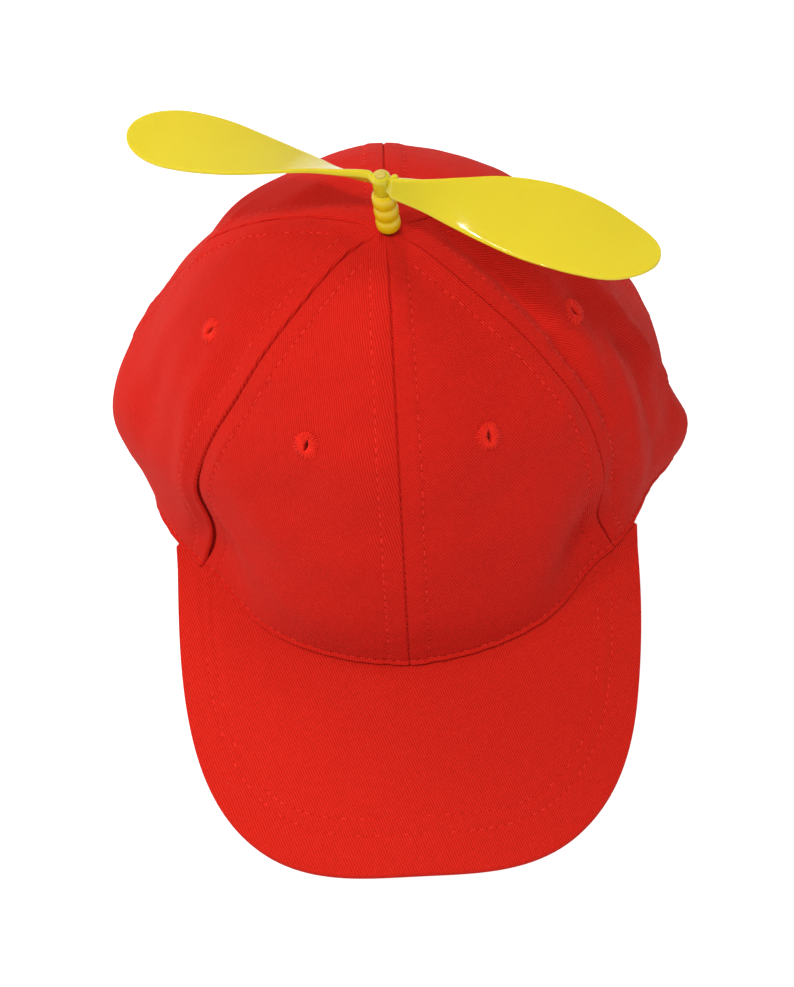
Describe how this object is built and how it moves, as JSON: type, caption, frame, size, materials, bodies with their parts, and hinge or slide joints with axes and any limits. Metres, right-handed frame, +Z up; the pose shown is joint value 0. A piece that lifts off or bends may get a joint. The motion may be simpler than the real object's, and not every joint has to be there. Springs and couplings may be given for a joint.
{
  "type": "propeller beanie",
  "caption": "Cotton cap in sewn panels with a curved visor and stitched vent eyelets, and a twisted plastic propeller that spins on a beaded stem at the crown.",
  "frame": {"origin": "centre of the bounding box in plan, on the surface that the cap stands on", "axes": "+Z up, the visor points along -Y, +X to the right as seen from in front of the visor"},
  "size_m": [0.1992, 0.2526, 0.1581],
  "materials": {
    "twill": "matte cotton twill",
    "visor_twill": "matte cotton twill over a board",
    "thread": "stitched thread",
    "yellow_plastic": "glossy moulded",
    "pin_plastic": "glossy moulded, paler"
  },
  "bodies": {
    "cap": {"panel_front_left": "twill", "panel_front_right": "twill", "panel_side_left": "twill", "panel_side_right": "twill", "panel_back_left": "twill", "panel_back_right": "twill", "visor": "visor_twill", "eyelet_front_left": "thread", "eyelet_front_right": "thread", "eyelet_side_left": "thread", "eyelet_side_right": "thread", "eyelet_back_left": "thread", "eyelet_back_right": "thread", "stem": "yellow_plastic", "axle": "pin_plastic"},
    "propeller": {"propeller": "yellow_plastic"}
  },
  "joints": [
    {"name": "propeller_spin", "type": "hinge", "parent": "cap", "child": "propeller", "pos_m": [-0.0023, 0.02911, 0.15202], "axis": [-0.0749, -0.0296, 0.9967], "continuous": true}
  ]
}
